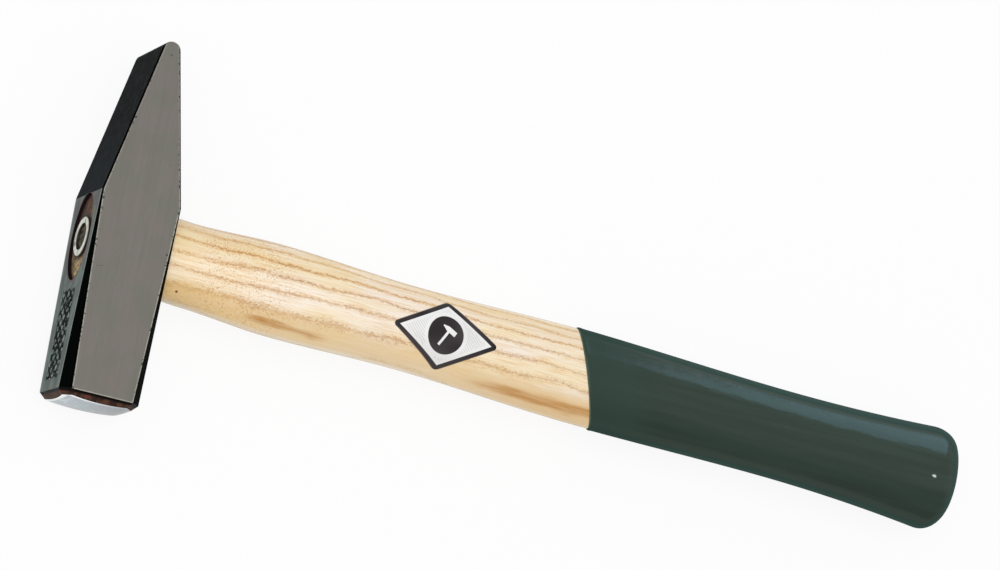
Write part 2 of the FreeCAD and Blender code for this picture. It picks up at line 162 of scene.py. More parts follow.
# %% [markdown]
# ## The head: a block that loses slices
#
# A forged and ground head is a square bar that has lost material on every side, so it is made
# the same way here. The block is cut with one plane for each ground face, and each cut is
# closed again. Cutting keeps every face perfectly flat, which a subdivision surface wouldn't.

# %% A plane takes a slice off the block
block = bmesh.new()
bmesh.ops.create_cube(block, size=1)
for vert in block.verts:
    vert.co.x *= 2 * half_depth
    vert.co.y = -face_reach if vert.co.y < 0 else pein_reach
    vert.co.z = vert.co.z * 2 * half_width + middle_z


def slice_off(point, outward):
    """Cuts away what lies beyond a plane and closes the cut with one flat face."""
    everything = block.verts[:] + block.edges[:] + block.faces[:]
    result = bmesh.ops.bisect_plane(block, geom=everything, plane_co=point, clear_outer=True,
                                    plane_no=Vector(outward).normalized(), dist=mm(0.001))
    rim = [item for item in result["geom_cut"] if isinstance(item, bmesh.types.BMEdge)]
    bmesh.ops.contextual_create(block, geom=rim)


print("the block is", round((face_reach + pein_reach) * 1000, 1), "mm long")

# %% [markdown]
# ### The wedge of the pein
#
# Two slopes run from the knees to a small round nose. A slope has to touch the nose as a
# tangent, so its angle comes from the distance between the knee and the centre of the nose.

# %% Cut the slopes and the round nose
nose_centre = pein_reach - nose_radius
knee_to_nose = Vector((half_depth, nose_centre - knee_reach))
tangent_angle = math.asin(nose_radius / knee_to_nose.length)
slope_angle = math.atan2(half_depth, nose_centre - knee_reach) - tangent_angle
slope_normal = Vector((math.cos(slope_angle), math.sin(slope_angle), 0))
nose_steps = 12
for side in (-1, 1):
    slice_off((side * half_depth, knee_reach, 0), (side * slope_normal.x, slope_normal.y, 0))
for step in range(1, nose_steps):
    angle = slope_angle + (math.pi - 2 * slope_angle) * step / nose_steps
    outward = Vector((math.cos(angle), math.sin(angle), 0))
    slice_off(Vector((0, nose_centre, 0)) + outward * nose_radius, outward)
print("slopes lean", round(math.degrees(slope_angle), 1), "degrees from the handle's axis")

# %% [markdown]
# ### Broken edges, corner flats and the bevel of the face
#
# Every long edge of the head is broken by a narrow chamfer. The corners of the poll are ground
# off in flats that are almost nothing at the knees and widest at the striking face, and the
# face has a bevel all round, so that a missed blow doesn't chip it.

# %% Cut the chamfers, corner flats and face bevels
for up in (-1, 1):
    cheek = middle_z + up * half_width
    for side in (-1, 1):
        for normal, place_y in ((Vector((side, 0, 0)), 0),
                                (Vector((side * slope_normal.x, slope_normal.y, 0)), knee_reach)):
            corner = Vector((side * half_depth, place_y, cheek))
            slice_off(corner - normal * edge_break, normal + Vector((0, 0, up)))
        at_knee = Vector((side * (half_depth - flat_leg_depth * flat_knee_share), knee_reach, cheek))
        at_face = Vector((side * (half_depth - flat_leg_depth), -face_reach, cheek))
        low_face = Vector((side * half_depth, -face_reach, cheek - up * flat_leg_width))
        outward = (at_face - at_knee).cross(low_face - at_knee)
        if outward.x * side < 0:
            outward.negate()
        slice_off(at_face, outward)
bevel_root = -face_reach + face_bevel
for outward, reach in (((1, 0, 0), half_depth), ((-1, 0, 0), half_depth),
                       ((0, 0, 1), half_width), ((0, 0, -1), half_width)):
    outward = Vector(outward)
    slice_off(Vector((0, bevel_root, middle_z)) + outward * reach, outward + Vector((0, -1, 0)))
flat_normal = Vector((flat_leg_width, 0, flat_leg_depth)).normalized()
for side in (-1, 1):
    for up in (-1, 1):
        corner = (side * (half_depth - flat_leg_depth), bevel_root, middle_z + up * half_width)
        slice_off(corner, (side * flat_normal.x, -1, up * flat_normal.z))
print("the head has", len(block.faces), "flat faces")

# %% [markdown]
# ### The crowned face
#
# The striking face isn't flat but part of a large ball. Its outline gets more points, which
# slide down the bevels until they lie on that ball, and its single polygon is replaced by a
# fine fan of rings whose points lie on the ball too.

# %% Slide the outline of the striking face onto the ball
bmesh.ops.remove_doubles(block, verts=block.verts[:], dist=mm(0.002))
block.normal_update()
struck = min(block.faces, key=lambda face: face.calc_center_median().y)
parts_per_side = 6
for edge in list(struck.edges):
    start, finish = edge.verts
    for left in range(parts_per_side, 1, -1):
        _, start = bmesh.utils.edge_split(edge, start, 1 / left)
        edge = next(side for side in start.link_edges if finish in side.verts)


def on_crown(point):
    """The point moved along Y onto the large ball of the face."""
    away = Vector((point.x, point.z - middle_z)).length
    drop = crown_radius - math.sqrt(crown_radius ** 2 - away ** 2)
    return Vector((point.x, -face_reach + drop, point.z))


def slide_direction(vert):
    """The way down the bevel at one point of the face's outline, with Y growing."""
    bevels = [face for face in vert.link_faces if face is not struck]
    if len(bevels) == 1:
        normal = bevels[0].normal
        return Vector((normal.x, -normal.y, normal.z))
    corner_edge = next(edge for edge in vert.link_edges if struck not in edge.link_faces)
    return (corner_edge.other_vert(vert).co - vert.co).normalized()


slides = [(vert, slide_direction(vert)) for vert in struck.verts]
for vert, direction in slides:
    for _ in range(12):
        vert.co += direction * ((on_crown(vert.co).y - vert.co.y) / direction.y)
print("the outline of the crowned face has", len(slides), "points")

# %% Fill the face with rings on the ball
outer = list(struck.verts)
outline_points = [vert.co.copy() for vert in outer]
face_middle = Vector((0, -face_reach, middle_z))
bmesh.ops.delete(block, geom=[struck], context="FACES_ONLY")
for share in (0.985, 0.93, 0.85, 0.7, 0.55, 0.4, 0.25, 0.12):
    inner = [block.verts.new(on_crown(face_middle.lerp(point, share))) for point in outline_points]
    for index in range(len(outer)):
        after = (index + 1) % len(outer)
        block.faces.new((outer[index], outer[after], inner[after], inner[index]))
    outer = inner
block.faces.new(outer)
bmesh.ops.recalc_face_normals(block, faces=block.faces[:])
forged_mesh = bpy.data.meshes.new("forged_head")
block.to_mesh(forged_mesh)
block.free()
forged_head = bpy.data.objects.new("forged_head", forged_mesh)
bpy.context.scene.collection.objects.link(forged_head)
print("with its crown the head has", len(forged_mesh.polygons), "faces")

# %% [markdown]
# ### The eye
#
# The eye is an hourglass through the head: wide at both mouths, narrow in the middle, so that a
# handle that is spread by its wedge can't slip out. It could be pressed into the mesh by hand,
# but a Boolean modifier that subtracts a skin of three ovals cuts it clean in one step.

# %% Take the eye out of the head
overrun = mm(1)
under_height, under_width = mm(27.5), mm(17.8)
eye_stations = ((-half_depth - overrun, mouth_height, mouth_width), (0, mm(25.2), mm(15.8)),
                (half_depth + overrun, under_height, under_width))
eye_tool = mesh_object("eye_tool", *skin_of_rings(eye_stations, close_front=True), smooth=False)
modify(forged_head, "eye", "BOOLEAN", operation="DIFFERENCE", solver="EXACT", object=eye_tool)
bpy.data.objects.remove(eye_tool)
print("with its eye the head has", len(forged_head.data.polygons), "faces")

# %% [markdown]
# ### A finish for every face, and soft edges
#
# The head leaves the forge black. Its cheeks and top are ground, the face is ground bright, and
# the bevel round it is browned by the heat of tempering. Each flat face is given the number of
# its finish now, while it is easy to tell by where it is and where it looks. The Bevel modifier
# then rounds all sharp edges by a fraction of a millimetre, because no real edge is perfectly
# sharp and the light shows it, and the small new faces get a finish of their own: a worn edge.
# A face looks straight along an axis when its normal's part along that axis is 1.

# %% Number the finishes
head_finish_names = ("ground_cheek", "ground_top", "black_forge_skin", "browned_bevel",
                     "bright_face", "worn_edge")
CHEEK, TOP, BLACK, BROWNED, BRIGHT, WORN = range(6)
for name in head_finish_names:
    forged_head.data.materials.append(bpy.data.materials.new(name))
eye_slack = mm(0.05)


def head_finish(polygon):
    """Number of the finish for one flat face of the head."""
    normal, place = polygon.normal, polygon.center
    if place.y < bevel_root - mm(0.02):
        return BRIGHT if normal.y < -0.93 else BROWNED
    if abs(normal.x) > 0.995:
        return TOP
    eye_share = Vector((place.y / (mouth_height / 2 + eye_slack),
                        (place.z - middle_z) / (mouth_width / 2 + eye_slack))).length
    if eye_share < 1 and place.length < mm(30):
        return BLACK
    return CHEEK if abs(normal.z) > 0.98 else BLACK


def edge_finish(polygon):
    """Number of the finish for one small face along a rounded edge."""
    normal, place = polygon.normal, polygon.center
    if normal.y < -0.8:
        return BRIGHT
    if place.y < bevel_root - mm(0.1):
        return BROWNED
    if abs(normal.z) > 0.73:
        return WORN
    return WORN if abs(normal.x) > 0.83 and place.y < knee_reach - mm(0.5) else BLACK


for polygon in forged_head.data.polygons:
    polygon.material_index = head_finish(polygon)
modify(forged_head, "soft_edges", "BEVEL", width=mm(0.14), segments=2, limit_method="ANGLE",
       angle_limit=math.radians(9), material=WORN)
for polygon in forged_head.data.polygons:
    polygon.use_smooth = True
    if polygon.material_index == WORN:
        polygon.material_index = edge_finish(polygon)
modify(forged_head, "flat_faces", "WEIGHTED_NORMAL", keep_sharp=True, weight=100)
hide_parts("head")
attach(forged_head, "root")
counts = [sum(p.material_index == i for p in forged_head.data.polygons) for i in range(6)]
print("faces per finish:", dict(zip(head_finish_names, counts)))

# %% [markdown]
# ## The handle: one line of ovals
#
# A turned and shaved ash handle is an oval everywhere, but never the same oval twice. It is
# modelled as rings of points. Between the named places the height follows an eased curve, the
# same rule as in the solid model, and the end is rounded by a quarter circle.

# %% The oval at any place along the handle
collar = (mm(22), mm(27.3), mm(17.8))
shoulder = (mm(54), mm(30.3), mm(18.9))
neck = (mm(99), mm(28.2), mm(20.7))
palm = (mm(164), mm(31.5), mm(22.6))
waist = (mm(236), mm(29.8), mm(24.3))
butt_height, butt_thick = mm(36.8), mm(26)
butt_drop, butt_lift = mm(0.3), mm(2.4)
butt_crown, butt_round = mm(60), mm(7)
eye_gap = mm(0.12)
end_flat_share = 0.7


def between(start, finish, share, bend=lambda share: share):
    """Height and thickness a share of the way between two ovals; the bend shapes the height."""
    return (start[1] + (finish[1] - start[1]) * bend(share),
            start[2] + (finish[2] - start[2]) * share)


def handle_oval(x):
    """Height, thickness and middle of the handle at a place."""
    if x <= collar[0]:
        start = (half_depth + overrun, under_height - 2 * eye_gap, under_width - 2 * eye_gap)
        share = max(0.0, (x - start[0]) / (collar[0] - start[0]))
        return *between(start, collar, share), -x * lean * share
    for start, finish in ((collar, shoulder), (shoulder, neck), (neck, palm), (palm, waist)):
        if x <= finish[0]:
            share = (x - start[0]) / (finish[0] - start[0])
            return *between(start, finish, share, lambda s: s * s * (3 - 2 * s)), -x * lean
    share = (x - waist[0]) / (wood_end - waist[0])
    butt = (wood_end, butt_height, butt_thick)
    return *between(waist, butt, share, lambda s: s ** 2), -x * lean - butt_drop * share ** 2


def crown_depth(half):
    """How far the crowned end lies back at a distance from its middle."""
    flat = end_flat_share * (butt_height / 2 - butt_round)
    return (half ** 2 - flat ** 2) / (2 * butt_crown)


print("neck oval:", [round(v * 1000, 1) for v in handle_oval(neck[0])], "mm")

# %% Rings from the head to the rounded end
def blade_rings(growth, first, step=mm(1.2)):
    """Station, height, thickness and middle of each ring, grown all round by a thickness."""
    turn_start = wood_end - crown_depth(butt_height / 2) - butt_round
    rings = []
    for x in np.linspace(first, turn_start, int((turn_start - first) / step)):
        height, thick, centre = handle_oval(x)
        rings.append((x, height + 2 * growth, thick + 2 * growth, centre))
    for turn in np.radians(np.linspace(0, 90, 15))[1:]:
        inset = butt_round * (1 - math.cos(turn))
        back = crown_depth(butt_height / 2 - inset) + butt_round * (1 - math.sin(turn))
        height, thick, centre = handle_oval(wood_end - back)
        inset = (butt_round + growth) * (1 - math.cos(turn)) - growth
        rings.append((wood_end - back + growth * math.sin(turn), height - 2 * inset,
                      thick - 2 * inset, centre + butt_lift * (1 - math.cos(turn))))
    last_height, last_thick = rings[-1][1:3]
    centre = handle_oval(wood_end)[2]
    for share in (0.92, 0.85, 0.78, end_flat_share, 0.5, 0.3, 0.12):
        half = max(share, end_flat_share) * (butt_height / 2 - butt_round)
        rings.append((wood_end - crown_depth(half) + growth, share * last_height,
                      share * last_thick, centre + butt_lift * (2 - share)))
    return rings


print("rings on the blade:", len(blade_rings(0, half_depth)))

# %% [markdown]
# ### The tenon and its end grain
#
# Inside the eye the handle is a tenon that follows the hourglass with a hair of clearance. Its
# end was sawn off a little below the top of the head, and a round steel ring was driven into
# it, so the end is a rim of wood, a ring-shaped groove and a round core.

# %% Make the handle in one mesh
ring_outer, ring_bore = mm(13), mm(8.6)
ring_edge, ring_length = mm(0.8), mm(16)
ring_recess, ring_gap = mm(0.1), mm(0.05)
tenon_end = handle_low.x
ring_top = -half_depth + ring_recess
ring_bottom = ring_top + ring_length
edge_round = mm(0.25)


def tenon_oval(x):
    """Height and thickness of the tenon at a place in the eye."""
    stations, heights, widths = zip(*eye_stations)
    return tuple(float(np.interp(x, stations, sizes)) - 2 * eye_gap for sizes in (heights, widths))


groove = ring_outer + 2 * ring_gap
core = ring_bore - 2 * ring_gap
core_foot = core + 2 * ring_edge
end_height, end_thick = tenon_oval(tenon_end)
rings = [(tenon_end, core * share, core * share) for share in (0.05, 0.3, 0.55, 0.8, 1.0)]
rings += [(ring_bottom, core, core), (ring_bottom, core_foot, core_foot), (tenon_end, groove, groove)]
for share in (0.2, 0.4, 0.6, 0.8, 1.0):
    rings.append((tenon_end, *(groove + (size - 2 * edge_round - groove) * share
                               for size in (end_height, end_thick))))
for x in np.linspace(tenon_end + edge_round, half_depth + overrun, 24):
    rings.append((x, *tenon_oval(x)))
rings += blade_rings(0, half_depth + 2 * overrun)
ash_handle = mesh_object("ash_handle", *skin_of_rings(rings, close_front=True))
modify(ash_handle, "sharp_rims", "EDGE_SPLIT", split_angle=math.radians(50))
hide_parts("handle")
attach(ash_handle, "root")
print("handle mesh:", len(ash_handle.data.polygons), "faces")

# %% [markdown]
# ## The dipped grip
#
# The rear of the handle was dipped into lacquer at a slant and hung up to drip. The lacquer
# ends in a slanting line with a soft, slightly swollen lip. The coat is a second skin of rings
# over the wood; each column of points starts where it meets the slanting plane of the dip.

# %% Where the dip line runs, and how thick the lip is
dip_at, dip_slant, dip_turn = mm(164.0), math.radians(24.8), math.radians(44.6)
slant_y = math.tan(dip_slant) * math.cos(dip_turn)
slant_z = math.tan(dip_slant) * math.sin(dip_turn)
settled_at = mm(196)
lip_width, bead_at, bead_share = mm(0.7), mm(0.9), 0.35


def lip_growth(distance):
    """Thickness of the lacquer at a distance from the dip line; it starts inside the wood."""
    rise = min(1.0, distance / lip_width)
    bead = bead_share * math.exp(-((distance - bead_at) / lip_width) ** 2)
    return coat_thick * (math.sqrt(1 - (1 - rise) ** 2) + bead) - (mm(0.03) if not distance else 0)


def dip_start(turn):
    """Where a column of the coat starts, round the handle."""
    x = dip_at
    for _ in range(6):
        height, thick, centre = handle_oval(x)
        place_y = centre + height / 2 * math.cos(turn)
        x = dip_at - slant_y * place_y - slant_z * thick / 2 * math.sin(turn)
    return x


turns = [2 * math.pi * step / ring_count for step in range(ring_count)]
starts = [dip_start(turn) for turn in turns]
print("dip line runs from", round(min(starts) * 1000, 1), "to", round(max(starts) * 1000, 1), "mm")

# %% Dip the handle
lip_rows = [mm(v) for v in (0, 0.08, 0.18, 0.32, 0.5, 0.75, 1.1, 1.6, 2.3, 3.2, 4.5, 6, 8)]
lip_rows += list(np.linspace(mm(9.5), settled_at - dip_at, 20))[:-1]
points = []
for distance in lip_rows:
    growth = lip_growth(distance)
    for turn, start in zip(turns, starts):
        x = start + distance * (settled_at - start) / (settled_at - dip_at)
        height, thick, centre = handle_oval(x)
        points.append(Vector((x, centre + (height / 2 + growth) * math.cos(turn),
                              middle_z + (thick / 2 + growth) * math.sin(turn))))
rear_points, rear_faces = skin_of_rings(blade_rings(coat_thick, settled_at))
offset = len(points)
faces = []
for start in range(0, offset, ring_count):
    faces += ring_faces(start, start + ring_count, ring_count)
faces += [tuple(corner + offset for corner in face) for face in rear_faces]
dipped_grip = mesh_object("dipped_grip", points + rear_points, faces)
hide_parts("grip_coat")
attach(dipped_grip, "root")
print("grip mesh:", len(dipped_grip.data.polygons), "faces")

# %% [markdown]
# ## The ring wedge
#
# Two flat wedges can work loose, so this hammer has one round wedge: a steel ring with a wall
# that tapers to a cutting edge, driven into the end grain until it is flush. Its section is
# drawn once, with a rounded rim at the top, and turned round the axis of the eye.

# %% Turn the steel ring
bore_radius, rim_radius = ring_bore / 2, ring_outer / 2
rim_round = mm(0.5)
profile = [(ring_bottom, bore_radius), (ring_top + rim_round, bore_radius)]
for inner_side, wall in ((1, bore_radius), (-1, rim_radius)):
    for turn in np.radians(np.linspace(15, 90, 6)[::inner_side]):
        profile.append((ring_top + rim_round * (1 - math.sin(turn)),
                        wall + inner_side * rim_round * (1 - math.cos(turn))))
profile += [(ring_top + rim_round, rim_radius), (ring_bottom, bore_radius + ring_edge),
            (ring_bottom, bore_radius)]
rings = [(x, 2 * radius, 2 * radius) for x, radius in profile]
steel_ring = mesh_object("steel_ring", *skin_of_rings(rings, close_back=False))
modify(steel_ring, "weld", "WELD", merge_threshold=mm(0.001))
modify(steel_ring, "sharp_rims", "EDGE_SPLIT", split_angle=math.radians(50))
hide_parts("ring_wedge")
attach(steel_ring, "root")
print("ring wall at the rim:", round((rim_radius - bore_radius) * 1000, 2), "mm")

# %% [markdown]
# ## The sticker
#
# A thin printed sticker lies on the upper side of the handle. Its outline is a diamond with
# rounded corners. Rings of points run round its middle and are laid on the curved wood by
# working out the height of the oval under each point, so it hugs the wood everywhere.

# %% Outline of the rounded diamond
sticker_middle = Vector((mm(110.3), mm(-3.1)))
sticker_half = Vector((mm(19.2), mm(11.45)))
corner_rounds = (mm(1.2), mm(2.8), mm(1.2), mm(2.8))
sticker_thick = mm(0.1)
side_angle = math.atan2(sticker_half.x, sticker_half.y)
side_distance = sticker_half.x * sticker_half.y / sticker_half.length


def toward(turn):
    """The direction of a turn in the plane of the sticker."""
    return Vector((math.cos(turn), math.sin(turn)))


def diamond_outline(per_corner=10, per_side=22):
    """Points round the diamond, from one corner's arc to the next."""
    corners = ((1, 0), (0, 1), (-1, 0), (0, -1))
    normals = (-side_angle, side_angle, math.pi - side_angle, math.pi + side_angle,
               2 * math.pi - side_angle)
    centres = [Vector((sticker_half.x * east, sticker_half.y * north)) * (1 - bend / side_distance)
               for (east, north), bend in zip(corners, corner_rounds)]
    outline = []
    for number, centre in enumerate(centres):
        for step in range(per_corner + 1):
            turn = normals[number] + (normals[number + 1] - normals[number]) * step / per_corner
            outline.append(centre + corner_rounds[number] * toward(turn))
        after = (number + 1) % 4
        arrival = centres[after] + corner_rounds[after] * toward(normals[number + 1])
        leaving = outline[-1].copy()
        outline += [leaving.lerp(arrival, step / per_side) for step in range(1, per_side)]
    return outline


diamond = diamond_outline()
print("sticker outline has", len(diamond), "points")

# %% Lay the sticker on the wood
def wood_top(x, y):
    """Height of the upper side of the handle above the floor."""
    height, thick, centre = handle_oval(x)
    across = (y - centre) / (height / 2)
    return middle_z + thick / 2 * math.sqrt(max(0.0, 1 - across ** 2))


lifted_rings = [(share, sticker_thick) for share in (0.04, *(step / 14 for step in range(1, 14)), 0.985)]
lifted_rings += [(1.0, sticker_thick * 0.7), (1.0, -mm(0.05))]
points = []
for share, lift in lifted_rings:
    for rim_point in diamond:
        place = sticker_middle + rim_point * share
        points.append(Vector((place.x, place.y, wood_top(place.x, place.y) + lift)))
faces = [tuple(range(len(diamond)))]
for start in range(0, len(points) - len(diamond), len(diamond)):
    faces += [face[::-1] for face in ring_faces(start, start + len(diamond), len(diamond))]
sticker = mesh_object("sticker", points, faces)
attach(sticker, "root")
print("sticker is", [round(2000 * v, 1) for v in sticker_half], "mm between its sharp corners")

# %% [markdown]
# ## Small helpers for materials
#
# A material is a tree of nodes, and its sums are nodes too. Wiring each one by hand hides the
# idea, so a number that changes over the surface is wrapped in the class Value: adding or
# multiplying it makes the Math node and links it. The materials then read like recipes. Colours
# are chosen from 0 to 255, as in a paint program, but a shader wants them in linear light.

# %% Numbers that change over the surface
class Value:
    """A node's output. Every sum with it becomes one Math node in the same tree, its id_data."""

    def __init__(self, socket):
        self.socket = socket
        self.id_data = socket.id_data

    def __add__(self, other):
        return calc("ADD", self, other)

    def __sub__(self, other):
        return calc("SUBTRACT", self, other)

    def __rsub__(self, other):
        return calc("SUBTRACT", other, self)

    def __mul__(self, other):
        return calc("MULTIPLY", self, other)

    def __truediv__(self, other):
        return calc("DIVIDE", self, other)

    def __abs__(self):
        return calc("ABSOLUTE", self)


def add(beside, kind, **settings):
    """One node with its settings, in the tree that the first argument belongs to."""
    node = beside.id_data.nodes.new(kind)
    for name, value in settings.items():
        setattr(node, name, value)
    return node


def feed(sockets, **values):
    """Puts numbers, colours or other nodes' outputs into sockets; _ stands for a space."""
    for name, value in values.items():
        socket = sockets[name.replace("_", " ")]
        if isinstance(value, Value):
            socket.id_data.links.new(value.socket, socket)
        else:
            socket.default_value = value


def calc(operation, *values, kind="ShaderNodeMath", output=0):
    """One Math node, such as ADD or MAXIMUM."""
    node = add(next(v for v in values if isinstance(v, Value)), kind, operation=operation)
    for number, value in enumerate(values):
        feed({"it": node.inputs[number]}, it=value)
    return Value(node.outputs[output])


print("a sum makes nodes of the kind", bpy.types.ShaderNodeMath.__name__)

# %% Places on the hammer and shares of them
def vector_calc(operation, places, other, output="Vector"):
    """The same for places: MULTIPLY squeezes them, DISTANCE measures from a point."""
    return calc(operation, places, other, kind="ShaderNodeVectorMath", output=output)


def places_in_mm(beside):
    """Where a point lies on the hammer, in millimetres."""
    where = Value(add(beside, "ShaderNodeTexCoord").outputs["Object"])
    return vector_calc("MULTIPLY", where, (1000, 1000, 1000))


def split(places):
    """The x and y of a place, and its height z above the middle of the head."""
    node = add(places, "ShaderNodeSeparateXYZ")
    feed(node.inputs, Vector=places)
    x, y, z = (Value(socket) for socket in node.outputs)
    return x, y, z - middle_z * 1000


def distance(first, second):
    """Length of the way that goes one distance along and the other across."""
    return calc("SQRT", first * first + second * second)


def fade(value, low, high, from_share=0.0, to_share=1.0):
    """A soft step: the value between low and high becomes a share between 0 and 1."""
    node = add(value, "ShaderNodeMapRange", interpolation_type="SMOOTHSTEP")
    feed(node.inputs, Value=value, From_Min=low, From_Max=high, To_Min=from_share, To_Max=to_share)
    return Value(node.outputs["Result"])


def noise(places, squeeze, detail=2, rough=0.5, scale=1.0):
    """Soft noise from about 0.2 to 0.8; where it is squeezed little, it is drawn out long."""
    if isinstance(squeeze, float):
        squeeze = (squeeze, squeeze, squeeze)
    node = add(places, "ShaderNodeTexNoise")
    feed(node.inputs, Vector=vector_calc("MULTIPLY", places, squeeze), Scale=scale,
         Detail=detail, Roughness=rough)
    return Value(node.outputs[0])


print("the middle of the head is", middle_z * 1000, "mm above the floor")

# %% Colours, groups and finishes
def colour(red, green, blue):
    """A colour as a screen shows it, turned into the linear light that shaders count in."""
    shares = [value / 255 for value in (red, green, blue)]
    linear = [v / 12.92 if v <= 0.04045 else ((v + 0.055) / 1.055) ** 2.4 for v in shares]
    return (*linear, 1.0)


def blend(share, first, second, kind="MIX"):
    """A share of the way from the first colour to the second."""
    node = add(share, "ShaderNodeMix", data_type="RGBA", blend_type=kind)
    first, second = (paint if isinstance(paint, Value) else colour(*paint) for paint in (first, second))
    feed({"share": node.inputs[0], "first": node.inputs[6], "second": node.inputs[7]},
         share=share, first=first, second=second)
    return Value(node.outputs[2])


def new_group(name, **inputs):
    """An empty shader node group and its inputs; three numbers make a vector input."""
    tree = bpy.data.node_groups.new(name, "ShaderNodeTree")
    for socket, value in inputs.items():
        kind = "NodeSocketVector" if isinstance(value, tuple) else "NodeSocketFloat"
        made = tree.interface.new_socket(name=socket.replace("_", " "), in_out="INPUT", socket_type=kind)
        made.default_value = value
    given = add(tree, "NodeGroupInput").outputs
    return tree, *(Value(given[number]) for number in range(len(inputs)))


def close_group(tree, **outputs):
    """Gives a group its outputs."""
    for socket in outputs:
        kind = "NodeSocketColor" if socket == "Color" else "NodeSocketFloat"
        tree.interface.new_socket(name=socket.replace("_", " "), in_out="OUTPUT", socket_type=kind)
    feed(add(tree, "NodeGroupOutput").inputs, **outputs)
    print("group", tree.name, "has", len(tree.nodes), "nodes")


def place_group(beside, group, **values):
    """Puts a group into a material, with the values that this material wants."""
    node = add(beside, "ShaderNodeGroup", node_tree=group)
    feed(node.inputs, **values)
    return {socket.name: Value(socket) for socket in node.outputs}


def new_finish(name, piece=None):
    """The principled shader of a new material, which goes onto a piece."""
    material = bpy.data.materials.get(name) or bpy.data.materials.new(name)
    material.use_nodes = True
    if piece:
        piece.data.materials.append(material)
    print("finish:", name)
    return next(node for node in material.node_tree.nodes if node.type == "BSDF_PRINCIPLED")


def turned_away(shader):
    """How far the surface turns away from the eye: 0 seen straight on, 1 at its outline."""
    node = add(shader, "ShaderNodeLayerWeight")
    feed(node.inputs, Blend=0.5)
    return Value(node.outputs["Facing"])


def paint(shader, base, height, depth, strength, **inputs):
    """Feeds the shader its colour and inputs; the height tilts the light, its depth in metres."""
    node = add(shader, "ShaderNodeBump")
    feed(node.inputs, Height=height, Distance=depth, Strength=strength)
    normal = Value(node.outputs["Normal"])
    feed(shader.inputs, Base_Color=base, Normal=normal, Coat_Normal=normal, **inputs)
    print("its tree has", len(shader.id_data.nodes), "nodes")


print("black is", colour(0, 0, 0)[:3], "and mid grey", round(colour(128, 128, 128)[0], 3))

# %% [markdown]
# ## Shared effects
#
# Fine grinding lines and small specks appear on more than one finish, so each is a node group
# that is built once. A group only gives out colours, masks and heights; the shader itself stays
# in the material.

# %% Group: grinding lines
grinding, along = new_group("grinding_lines", Along=(0.03, 3.0, 3.0))
where = places_in_mm(grinding)
fine = noise(where, along, detail=3, rough=0.6)
coarse = noise(where, along, detail=1, scale=0.35)
close_group(grinding, Lines=fine * 0.65 + coarse * 0.35, Cloud=noise(where, 0.12, detail=4))

# %% Group: specks
specks, per_millimetre, size = new_group("specks", Per_millimetre=0.25, Size=0.12)
cells = add(specks, "ShaderNodeTexVoronoi", feature="F1")
feed(cells.inputs, Vector=places_in_mm(specks), Scale=per_millimetre)
chance = add(specks, "ShaderNodeSeparateColor")
feed(chance.inputs, Color=Value(cells.outputs["Color"]))
reach = size * Value(chance.outputs[0])
close_group(specks, Mask=calc("LESS_THAN", Value(cells.outputs["Distance"]), reach))

# %% [markdown]
# ### The grain of ash
#
# Ash grows one ring a year: first a band of open pores, then dense pale wood. The rings here
# are nearly flat sheets that stand at a slant in the handle. Where the surface cuts them
# steeply, on the pein's side, they show as fine close lines; where it runs along them, low on
# the face's side, they spread into broad darker flames. One slanting distance gives both. Four
# noises, from a long bend to tiny burrs, keep the lines from running straight.

# %% Group: where a point lies between two yearly rings
yearly, spacing, shift = new_group("yearly_rings", Spacing=3.8, Shift=0.0)
where = places_in_mm(yearly)
x, y, z = split(where)
ring_slant = math.radians(40)
radius = (y + x * lean) * math.cos(ring_slant) - z * math.sin(ring_slant)
for squeeze, swing in (((0.014, 0.03, 0.03), 5.0), ((0.07, 0.12, 0.12), 2.2),
                       ((0.8, 0.9, 0.9), 1.1), ((2.4, 2.2, 2.2), 0.7)):
    radius = radius + (noise(where, squeeze, detail=1) - 0.5) * swing
year = radius / spacing + shift
dice = add(yearly, "ShaderNodeTexWhiteNoise", noise_dimensions="1D")
feed(dice.inputs, W=calc("FLOOR", year))
slow = noise(where, (0.03, 0.02, 0.02), detail=1)
close_group(yearly, From_band=abs(calc("FRACT", year) - 0.5),
            Strength=(Value(dice.outputs[0]) * 0.55 + 0.45) * fade(slow, 0.3, 0.6, 0.55, 1.0))

# %% Group: colour and pores of ash
ash, spacing, shift = new_group("ash_grain", Spacing=3.8, Shift=0.0)
where = places_in_mm(ash)
rings = place_group(ash, yearly, Spacing=spacing, Shift=shift)
from_band = rings["From band"]
halo = fade(from_band, 0.27, 0.06) * rings["Strength"]
core = fade(from_band, 0.085, 0.03) * rings["Strength"]
dashes = fade(noise(where, (0.42, 2.4, 2.4)), 0.36, 0.5)
pore_spots = fade(noise(where, (1.3, 5.5, 5.5), detail=1), 0.56, 0.66)
pores = pore_spots * fade(from_band, 0.24, 0.08)
fibres = noise(where, (0.07, 3.4, 3.4), detail=3, rough=0.6)
blush = fade(noise(where, (0.02, 0.1, 0.1)), 0.38, 0.6)
grain = blend(blush, (255, 237, 203), (255, 242, 227))
grain = blend(halo * 0.68, grain, (237, 182, 102))
grain = blend(core * dashes * 0.95, grain, (166, 98, 26))
grain = blend(pores * 0.6, grain, (184, 130, 70))
grain = blend(fade(fibres, 0.46, 0.64, 0.0, 0.55), grain, (236, 190, 120))
close_group(ash, Color=grain, Pores=pores, Height=fibres * 0.3 - pores)

# %% [markdown]
# ## Finishes of the head
#
# The cheeks are ground and oiled to a warm satin grey, the top of the poll is a duller, cooler
# grey, and the corner flats and the slopes of the pein keep the black of the forge. The bevel
# round the face is brown, and only the face itself is bright. Ground edges catch the light as a
# thin pale line, and where the black skin has chipped it leaves small dark teeth.

